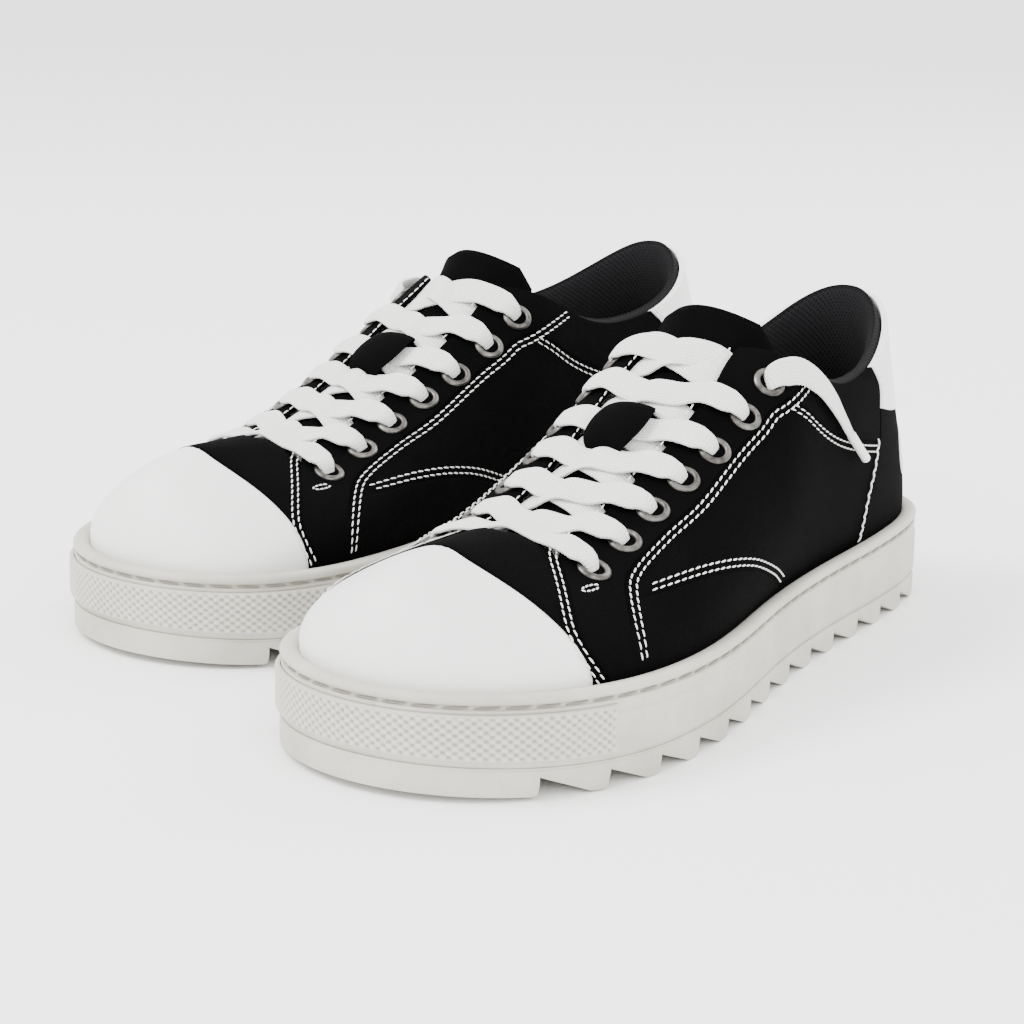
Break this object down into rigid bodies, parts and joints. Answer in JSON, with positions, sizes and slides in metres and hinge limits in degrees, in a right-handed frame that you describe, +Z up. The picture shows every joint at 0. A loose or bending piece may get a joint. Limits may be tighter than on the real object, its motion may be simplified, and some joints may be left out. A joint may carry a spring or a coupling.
{
  "type": "pair of lace-up sneakers",
  "caption": "Pair of low lace-up sneakers: thick rubber cupsole with a stitched lip, saw-toothed tread, smooth toe cap, canvas panels, padded collar and tongue, flat lace.",
  "frame": {"origin": "on the ground under the middle of the pair's bounding box", "axes": "+Z up, toes towards -Y, wearer's left shoe at +X and right shoe at -X"},
  "size_m": [0.2528, 0.3554, 0.1148],
  "materials": {
    "off_white_rubber": "matt, smooth, with a fine texture on the toe bumper",
    "foam": "matt foam",
    "board": "fibre board",
    "white_leather": "smooth, slightly glossy",
    "black_canvas": "fine plain weave",
    "black_mesh": "soft knitted mesh",
    "stiffener": "moulded board",
    "white_lace": "flat woven twill",
    "clear_sheath": "glossy film over the lace end",
    "aged_silver": "aged silver plating"
  },
  "bodies": {
    "left_shoe": {"left_tread_outsole": "off_white_rubber", "left_cupsole": "off_white_rubber", "left_toe_bumper": "off_white_rubber", "left_midsole_foam": "foam", "left_insole_board": "board", "left_footbed": "black_mesh", "left_toe_cap": "white_leather", "left_toe_puff": "stiffener", "left_vamp": "black_canvas", "left_eyestay_lateral": "black_canvas", "left_eyestay_medial": "black_canvas", "left_quarter_lateral": "black_canvas", "left_quarter_medial": "black_canvas", "left_side_patch_lateral": "black_canvas", "left_side_patch_medial": "black_canvas", "left_collar_lateral": "black_canvas", "left_collar_medial": "black_canvas", "left_heel_counter": "black_canvas", "left_heel_tab": "white_leather", "left_collar_lining": "black_mesh", "left_heel_stiffener": "stiffener", "left_tongue": "black_canvas", "left_lace_keeper": "black_canvas", "left_lace": "white_lace", "left_lace_tail": "white_lace", "left_aglet": "clear_sheath", "left_aglet_inner": "clear_sheath", "left_eyelet_row_lateral": "aged_silver", "left_eyelet_row_medial": "aged_silver"},
    "right_shoe": {"right_tread_outsole": "off_white_rubber", "right_cupsole": "off_white_rubber", "right_toe_bumper": "off_white_rubber", "right_midsole_foam": "foam", "right_insole_board": "board", "right_footbed": "black_mesh", "right_toe_cap": "white_leather", "right_toe_puff": "stiffener", "right_vamp": "black_canvas", "right_eyestay_lateral": "black_canvas", "right_eyestay_medial": "black_canvas", "right_quarter_lateral": "black_canvas", "right_quarter_medial": "black_canvas", "right_side_patch_lateral": "black_canvas", "right_side_patch_medial": "black_canvas", "right_collar_lateral": "black_canvas", "right_collar_medial": "black_canvas", "right_heel_counter": "black_canvas", "right_heel_tab": "white_leather", "right_collar_lining": "black_mesh", "right_heel_stiffener": "stiffener", "right_tongue": "black_canvas", "right_lace_keeper": "black_canvas", "right_lace": "white_lace", "right_lace_tail": "white_lace", "right_aglet": "clear_sheath", "right_aglet_inner": "clear_sheath", "right_eyelet_row_lateral": "aged_silver", "right_eyelet_row_medial": "aged_silver"},
    "left_tongue_flap": {"left_tongue_top": "black_canvas"},
    "right_tongue_flap": {"right_tongue_top": "black_canvas"}
  },
  "joints": [
    {"name": "left_tongue_fold", "type": "hinge", "parent": "left_shoe", "child": "left_tongue_flap", "pos_m": [0.06901, -0.00759, 0.10975], "axis": [1, 0, 0], "range_deg": [0, 30], "stiffness_Nm_per_rad": 0.02},
    {"name": "right_shoe_lift", "type": "slide", "parent": "left_shoe", "child": "right_shoe", "axis": [0, 0, 1], "range_m": [0, 0.15]},
    {"name": "right_tongue_fold", "type": "hinge", "parent": "right_shoe", "child": "right_tongue_flap", "pos_m": [-0.06004, 0.04294, 0.10975], "axis": [0.9957, -0.0924, 0], "range_deg": [0, 30], "stiffness_Nm_per_rad": 0.02}
  ]
}
